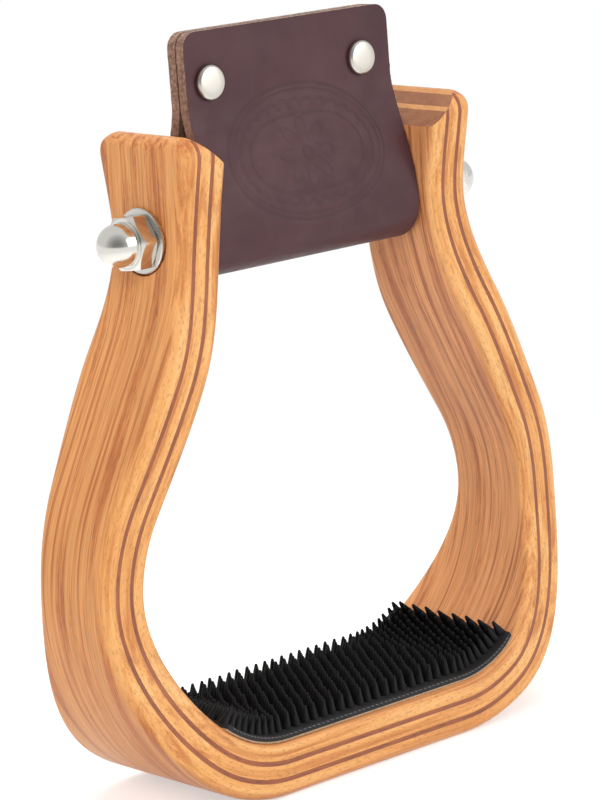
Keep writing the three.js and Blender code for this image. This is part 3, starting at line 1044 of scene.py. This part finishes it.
# %% Tooling
stamp_middle_x = 0.5 * mm
stamp_middle_z = 172.7 * mm
stamp_half_width = 29.5 * mm
stamp_half_height = 19 * mm
outer_ring_inset = 0.6 * mm
outer_ring_width = 1.3 * mm
second_ring_inset = 2.1 * mm
second_ring_width = 1.1 * mm
inner_ring_inset = 8.4 * mm
scallop_count = 30
scallop_radius = 2.3 * mm
scallop_foot = 1.6 * mm
scallop_top_inset = 2.4 * mm
scallop_row_share = 0.8
petal_count = 8
petal_reach = 10 * mm
petal_waist = 0.3
petal_width = 1.6 * mm
heart_radius = 1.6 * mm
fine_width = 1.2 * mm
tool_depth = 0.26 * mm


def groove(distance, width=fine_width):
    """1 in the middle of a rounded groove, 0 outside it."""
    share = abs(distance) / (width / 2)
    return (1 - share * share) ** 2 if share < 1 else 0


def scallop_mark(turn, outside):
    """The row of arches that stands on the inner ring."""
    stretch = math.hypot(stamp_half_width * math.sin(turn), stamp_half_height * math.cos(turn))
    pitch = 360 * degree * stretch * scallop_row_share / scallop_count
    beside = ((turn / (360 * degree) * scallop_count) % 1 - 0.5) * pitch
    height = outside + inner_ring_inset - scallop_foot
    if height <= 0 or outside >= -scallop_top_inset:
        return 0
    return groove(math.hypot(beside, height) - scallop_radius)


def tooling(x, z):
    """How deep the stamp pressed the leather here, from 0 to 1."""
    dx = x - stamp_middle_x
    dz = z - stamp_middle_z
    size = math.hypot(dx / stamp_half_width, dz / stamp_half_height)
    reach = math.hypot(dx, dz)
    if size > 1.1 or reach < 0.1 * mm:
        return 0
    outside = (size - 1) * reach / size
    turn = math.atan2(dz / stamp_half_height, dx / stamp_half_width)
    wave = abs(math.cos(petal_count / 2 * math.atan2(dz, dx)))
    petal = petal_reach * (petal_waist + (1 - petal_waist) * wave)
    return max(
        groove(outside + outer_ring_inset, outer_ring_width),
        0.8 * groove(outside + second_ring_inset, second_ring_width),
        0.9 * groove(outside + inner_ring_inset),
        0.8 * scallop_mark(turn, outside),
        0.8 * groove(reach - petal, petal_width),
        groove(reach - heart_radius),
    )


print("stamp:", round(2 * stamp_half_width / mm), "by", round(2 * stamp_half_height / mm), "mm")

# %% [markdown]
# The leather is swept as a sheet without thickness. Its top corners are drawn in, the rivet
# holes are punched, and it is pressed down under the rivets and the stamp. There its colour
# is painted darker, as shade.

# %% Leather cover
rivet_spacing = 57 * mm
rivet_shift = -1.5 * mm
rivet_height = 195.4 * mm
rivet_cap_radius = 4.8 * mm
rivet_hole_radius = 1.9 * mm
column_step = 0.45 * mm
dimple_depth = 0.2 * mm
dimple_fade = 0.7 * mm

bm = bmesh.new()
profile = [bm.verts.new((-cover_half_width, p.x, p.y)) for p in outer_line()]
profile_edges = [bm.edges.new(pair) for pair in zip(profile, profile[1:])]
columns = round(2 * cover_half_width / column_step)
bmesh.ops.spin(
    bm,
    geom=profile + profile_edges,
    axis=(1, 0, 0),
    dvec=(2 * cover_half_width / columns, 0, 0),
    steps=columns,
)
bmesh.ops.recalc_face_normals(bm, faces=bm.faces)
if sum(face.normal.y * face.calc_center_median().y for face in bm.faces) < 0:
    bmesh.ops.reverse_faces(bm, faces=bm.faces)

for vert in bm.verts:
    above = vert.co.z - (cover_top - cover_corner_radius)
    if above > 0:
        reach = math.sqrt(max(cover_corner_radius**2 - above**2, 0)) - cover_corner_radius
        vert.co.x *= (cover_half_width + reach) / cover_half_width

rivet_hands = ((rivet_shift - rivet_spacing / 2, "left"), (rivet_shift + rivet_spacing / 2, "right"))


def from_rivet(co):
    return min(math.hypot(co.x - x, co.z - rivet_height) for x, hand in rivet_hands)


punched = [face for face in bm.faces if from_rivet(face.calc_center_median()) < rivet_hole_radius]
bmesh.ops.delete(bm, geom=punched, context="FACES")
bm.normal_update()

# Each point also stores a share of painted shade: a shadow ring round each rivet cap, and darker
# grooves in the stamp.
painted_shade = bm.verts.layers.float.new("painted_shade")
for vert in bm.verts:
    past_cap = max(from_rivet(vert.co) - rivet_cap_radius, 0)
    dimple = math.exp(-((past_cap / dimple_fade) ** 2))
    depth = dimple_depth * dimple
    shade_share = dimple * 0.3
    if vert.co.y < -flap_middle and vert.co.z > loop_centre_height - loop_radius / 2:
        relief = tooling(vert.co.x, vert.co.z)
        depth += relief * tool_depth
        shade_share = max(shade_share, relief * 0.8)
    vert[painted_shade] = shade_share
    if depth > 0.001 * mm:
        vert.co -= vert.normal * depth


def lean_back(bm):
    """The cover and its rivets lean back a little about the bolt."""
    to_bolt = Matrix.Translation((0, 0, bolt_height))
    lean = to_bolt @ Matrix.Rotation(-cover_lean, 4, "X") @ to_bolt.inverted()
    return aim(bm, lean)


cover = make_piece(
    "folded_leather_cover",
    lean_back(bm),
    [grain_side, flesh_side, cut_edge],
    "cover",
    "leather",
    "leather_cover",
    sharp_angle=60 * degree,
    outward=False,
)

# %% [markdown]
# One modifier gives the sheet its thickness, inward from the smooth side, and a second one
# softens its edges. Cut leather is never quite smooth, so the rim's points are then moved a
# little by a fine noise. Its seed is set, because it would differ from run to run otherwise.

# %% Thickness and edges of the leather
fold_clearance = 0.05 * mm
soft_edge_width = 0.45 * mm
ragged_depth = 0.16 * mm
ragged_detail = 1400
ragged_seed = 3
flesh_finish = 1
rim_finish = 2

wall = cover.modifiers.new("thickness", "SOLIDIFY")
wall.thickness = cover_thickness - fold_clearance
wall.offset = -1
wall.use_even_offset = True
wall.material_offset = flesh_finish
wall.material_offset_rim = rim_finish
soft = cover.modifiers.new("soft_edges", "BEVEL")
soft.width = soft_edge_width
soft.segments = 2
soft.limit_method = "ANGLE"
soft.angle_limit = 60 * degree
apply_modifiers(cover)

noise.seed_set(ragged_seed)
rim_faces = [face for face in cover.data.polygons if face.material_index == rim_finish]
for index in {index for face in rim_faces for index in face.vertices}:
    spot = cover.data.vertices[index].co
    spot += noise.noise_vector(spot * ragged_detail) * ragged_depth
print("cover faces after its thickness:", len(cover.data.polygons))

# %% [markdown]
# The rivets have low, flat caps with a narrow bevel round them. They are turned pieces too,
# and each back half carries the post that goes through both flaps.

# %% Rivets
rivet_face = cover_thickness + flap_gap / 2
rivet_post_radius = 1.6 * mm
rivet_post_length = 2 * rivet_face - 0.5 * mm
cap_insets_and_heights = [
    (0.2, 0), (0, 0.25), (0, 0.95), (0.12, 1.15), (0.5, 1.5), (0.65, 1.56), (2.4, 1.65)
]
cap_outline = [
    (rivet_cap_radius - inset * mm, height * mm) for inset, height in cap_insets_and_heights
]
cap_outline.append((0, 1.7 * mm))
front_half = [(0, 0), *cap_outline]
back_half = [
    (0, -rivet_post_length),
    (rivet_post_radius, -rivet_post_length),
    (rivet_post_radius, 0),
    *cap_outline,
]
for x, hand in rivet_hands:
    for side, where, outline, node in (
        (-1, "front", front_half, "rivet_cap"),
        (1, "back", back_half, "rivet_post"),
    ):
        stand = Matrix.Translation((x, side * rivet_face, rivet_height))
        stand = stand @ Matrix.Rotation(-side * 90 * degree, 4, "X")
        half = lean_back(aim(turned(outline), stand))
        name = f"{where}_rivet_{hand}"
        make_piece(name, half, [nickel], "cover", "rivet_steel", f"{node}_{hand}")

# %% [markdown]
# The tread is a rubber mat on a canvas backing. It lies on the flat of the band and runs up
# into the corners, so it is made as the wood is: a length of band, a little narrower.

# %% Rubber mat
mat_end = 64.1 * mm
tread_inset = 1.5 * mm
canvas_thickness = 0.5 * mm
mat_thickness = 1.5 * mm
mat_edge_radius = 0.35 * mm
canvas_top = -half_stack - canvas_thickness
mat_top = canvas_top - mat_thickness


def strip_width(along):
    return half_width(along) - tread_inset


canvas = band(canvas_top, -half_stack, mat_end, tread_inset)
make_piece("canvas_backing", canvas, [tan_canvas], "frame", "sole_leather", "tread_base")

mat_nodes = ["rubber_mat_left", "rubber_mat_middle", "rubber_mat_right"]
mat = band(mat_top, canvas_top, mat_end, tread_inset, 0, lambda along: mat_edge_radius)
make_piece("rubber_mat", mat, [rubber_sheet_painted_reflection], "frame", "rubber", *mat_nodes)

# %% [markdown]
# Sixteen rows of cones stand on the mat, each row shifted by half a step from the next. A
# cone is turned with only a few sides, because there are nearly six hundred of them. Moulded
# rubber is never quite even, so each one stands a little off its place and off its axis.

# %% Cones
cone_pitch = 3.5 * mm
row_pitch = 2.7 * mm
row_count = 16
cone_height = 5 * mm
cone_foot = 1.4 * mm
cone_sink = 0.2 * mm
cone_sides = 8
cone_margin = 0.5 * mm
cone_wander = 0.18 * mm
cone_tilt = 3 * degree
dice = random.Random(11)

cone_outline = [
    (0, -cone_sink),
    (cone_foot + 0.1 * mm, -cone_sink),
    (cone_foot, 0.15 * mm),
    (1.02 * mm, 1.8 * mm),
    (0.66 * mm, 3.6 * mm),
    (0.378 * mm, 4.75 * mm),
    (0, cone_height),
]
one_cone = turned(cone_outline, cone_sides)
bmesh.ops.recalc_face_normals(one_cone, faces=one_cone.faces)
pattern = bpy.data.meshes.new("one_cone")
one_cone.to_mesh(pattern)
one_cone.free()

field = bmesh.new()
cone_count = 0
columns_each_way = math.ceil(mat_end / cone_pitch)
for row in range(row_count):
    across = (row - (row_count - 1) / 2) * row_pitch
    shift = 0.5 if row % 2 else 0.0
    for column in range(-columns_each_way - 1, columns_each_way + 1):
        along = (column + shift) * cone_pitch
        if abs(along) > mat_end - cone_margin or abs(across) > strip_width(along) - cone_foot:
            continue
        along += dice.uniform(-cone_wander, cone_wander)
        place = place_at(along)
        foot = place.beside(across + dice.uniform(-cone_wander, cone_wander), mat_top)
        stand = Matrix.Translation(foot) @ Matrix.Rotation(-place.heading, 4, "Y")
        stand = stand @ Matrix.Rotation(dice.uniform(-cone_tilt, cone_tilt), 4, "X")
        stand = stand @ Matrix.Rotation(dice.uniform(-cone_tilt, cone_tilt), 4, "Y")
        start = len(field.verts)
        field.from_mesh(pattern)
        field.verts.ensure_lookup_table()
        bmesh.ops.transform(field, matrix=stand, verts=field.verts[start:])
        cone_count += 1
bpy.data.meshes.remove(pattern)
make_piece(
    "tread_cones",
    field,
    [rubber_cones],
    "frame",
    "rubber",
    sharp_angle=70 * degree,
    outward=False,
)
print("cones:", cone_count)

# %% [markdown]
# A cut edge of the mat shows the ends of the yarns in its upper cotton ply: a fine pale line
# of slanted dashes just under the top. Each dash is a small capsule lying in the edge.

# %% Yarn ends
yarn_pitch = 1.75 * mm
yarn_length = 1.35 * mm
yarn_radius = 0.11 * mm
yarn_flatness = 0.8
yarn_slant = 12 * degree
yarn_sink = 0.02 * mm
yarn_depth = mat_top + 0.42 * mm
yarn_count = int((mat_end - yarn_pitch) / yarn_pitch)
yarn_stretch = Matrix.Diagonal((yarn_length / 2 / yarn_radius, yarn_flatness, 1, 1))

for side, where in ((-1, "front"), (1, "back")):
    yarns = bmesh.new()
    for i in range(-yarn_count, yarn_count + 1):
        place = place_at(i * yarn_pitch)
        centre = place.beside(side * (strip_width(place.along) - yarn_sink), yarn_depth)
        stand = Matrix.Translation(centre) @ Matrix.Rotation(yarn_slant - place.heading, 4, "Y")
        made = bmesh.ops.create_uvsphere(yarns, u_segments=8, v_segments=6, radius=yarn_radius)
        bmesh.ops.transform(yarns, matrix=stand @ yarn_stretch, verts=made["verts"])
    name = f"yarn_ends_{where}"
    make_piece(
        name, yarns, [grey_yarn], "frame", "thread", f"thread_{where}", sharp_angle=80 * degree
    )

# %% [markdown]
# The floor is white and fades into white paper a little way out, so that it keeps the
# object's shadow near it and has no far edge. Only the camera and mirrors see it so bright:
# as a lamp for the object it stays a plain pale floor. From below it is clear.

# %% Floor
floor_half_size = 6
floor_depth = 0.02 * mm
fade_from = 0.16
fade_to = 0.42
near_boost = 0.5

floor_finish = Finish("white_floor")
floor_finish.set(Base_Color=(0.8, 0.8, 0.8, 1), Roughness=0.9, Specular_IOR_Level=0)
plain_floor = floor_finish.surface.outputs[0]
paper = floor_finish.add("Emission", {"Color": (1, 1, 1, 1), "Strength": 1.0})
boost = floor_finish.add("Emission", {"Color": (1, 1, 1, 1), "Strength": near_boost})
near_look = floor_finish.add("AddShader", {0: plain_floor, 1: boost.outputs[0]})
spot = floor_finish.add("TexCoord").outputs["Object"]
distance = floor_finish.add("VectorMath", {0: spot}, operation="LENGTH").outputs["Value"]
fade = floor_finish.remap(distance, fade_from, fade_to)
look = floor_finish.mix_shaders(fade, near_look.outputs[0], paper.outputs[0])
above = floor_finish.mix_shaders(floor_finish.ray_is("Camera", "Glossy"), plain_floor, look)
clear = floor_finish.add("BsdfTransparent").outputs[0]
from_below = floor_finish.add("NewGeometry").outputs["Backfacing"]
whole = floor_finish.mix_shaders(from_below, above, clear)
floor_finish.feed(floor_finish.nodes["Material Output"], "Surface", whole)

floor_bm = bmesh.new()
bmesh.ops.create_grid(floor_bm, x_segments=4, y_segments=4, size=floor_half_size)
floor_mesh = bpy.data.meshes.new("floor")
floor_bm.to_mesh(floor_mesh)
floor_bm.free()
floor_mesh.materials.append(floor_finish.material)
floor = bpy.data.objects.new("floor", floor_mesh)
floor.location.z = -floor_depth
bpy.context.scene.collection.objects.link(floor)
print("floor:", 2 * floor_half_size, "m wide")

# %% [markdown]
# The room is lit by three large soft lamps and a little light from all round. Camera, mirror
# and glass rays see a pale room that is darker behind the camera, so the steel has something
# to mirror. Only one lamp can be seen in the steel.

# %% Room and lamps
toward_camera = (-0.68, -0.72, 0.1)
dark_side = 0.3
bright_side = 0.95
ambient_strength = 0.55

world = bpy.data.worlds.new("white_room")
world.use_nodes = True
bpy.context.scene.world = world
room = Graph(world.node_tree)
ambient = room.nodes["Background"]
room.feed(ambient, "Color", (1, 1, 1, 1))
room.feed(ambient, "Strength", ambient_strength)
direction = room.add("TexCoord").outputs["Generated"]
facing = room.add("VectorMath", {0: direction, 1: toward_camera}, operation="DOT_PRODUCT")
darker = room.remap(facing.outputs["Value"], 0.3, 0.95, bright_side, dark_side)
strength = room.math("MAXIMUM", darker, room.ray_is("Camera"))
pale_room = room.add("Background", {"Color": (0.8, 0.8, 0.8, 1), "Strength": strength})
seen = room.ray_is("Camera", "Glossy", "Transmission")
mixed = room.mix_shaders(seen, ambient.outputs[0], pale_room.outputs[0])
room.feed(room.nodes["World Output"], "Surface", mixed)


object_middle = Vector((0, 0, 0.1))


def soft_lamp(name, place, size, power, mirrored):
    lamp = bpy.data.lights.new(name, "AREA")
    lamp.shape = "SQUARE"
    lamp.size = size
    lamp.energy = power
    lamp_object = bpy.data.objects.new(name, lamp)
    lamp_object.location = place
    aim_at = object_middle - Vector(place)
    lamp_object.rotation_euler = aim_at.to_track_quat("-Z", "Y").to_euler()
    lamp_object.visible_glossy = mirrored
    bpy.context.scene.collection.objects.link(lamp_object)


soft_lamp("front_left_lamp", (-0.9, -0.7, 0.75), size=0.7, power=5.5, mirrored=False)
soft_lamp("front_right_lamp", (0.6, -1.1, 0.55), size=0.8, power=5.0, mirrored=True)
soft_lamp("top_lamp", (0.1, 0.35, 1.15), size=0.8, power=5.0, mirrored=False)
print("lamps:", ", ".join(lamp.name for lamp in bpy.data.lights))
